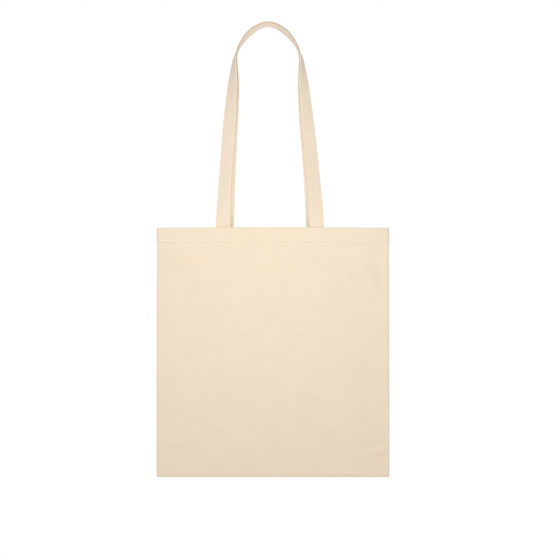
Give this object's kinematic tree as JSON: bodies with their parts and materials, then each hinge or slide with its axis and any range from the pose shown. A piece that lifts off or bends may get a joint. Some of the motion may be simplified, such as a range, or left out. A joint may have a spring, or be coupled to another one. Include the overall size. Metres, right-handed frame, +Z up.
{
  "type": "tote bag",
  "caption": "Flat canvas tote bag hanging by two long twisted fabric handles, with hemmed mouth, box-stitched handle ends, and a mouth and handles that move",
  "frame": {"origin": "On the bottom edge, under the middle of the bag, in the middle plane between its two panels", "axes": "+Z up from the bottom edge to the handles, +X to the right seen from the front, the front panel faces -Y"},
  "size_m": [0.384, 0.034, 0.7486],
  "materials": {
    "canvas": "natural unbleached plain-weave cotton canvas, matt",
    "strap": "the same canvas folded to a flat strap, matt",
    "thread": "cream sewing thread, slightly lustrous"
  },
  "bodies": {
    "bag_back": {"back_panel": "canvas", "back_handle_end_left": "strap", "back_handle_end_right": "strap", "back_box_stitch_left": "thread", "back_box_stitch_right": "thread", "back_hem_stitching": "thread", "left_seam_allowance": "canvas", "right_seam_allowance": "canvas", "bottom_seam_allowance": "canvas", "left_seam_overlock": "thread", "right_seam_overlock": "thread", "bottom_seam_overlock": "thread"},
    "bag_front": {"front_panel": "canvas", "front_handle_end_left": "strap", "front_handle_end_right": "strap", "front_box_stitch_left": "thread", "front_box_stitch_right": "thread", "front_hem_stitching": "thread"},
    "front_strap": {"front_handle": "strap", "front_handle_stitching": "thread"},
    "back_strap": {"back_handle": "strap", "back_handle_stitching": "thread"}
  },
  "joints": [
    {"name": "mouth_open", "type": "hinge", "parent": "bag_back", "child": "bag_front", "pos_m": [0, -0.00175, 0], "axis": [1, 0, 0], "range_deg": [0, 12]},
    {"name": "front_handle_fold", "type": "hinge", "parent": "bag_front", "child": "front_strap", "pos_m": [0, -0.0159, 0.411], "axis": [1, 0, 0], "range_deg": [0, 180]},
    {"name": "back_handle_fold", "type": "hinge", "parent": "bag_back", "child": "back_strap", "pos_m": [0, 0.0161, 0.411], "axis": [-1, 0, 0], "range_deg": [0, 180]}
  ]
}
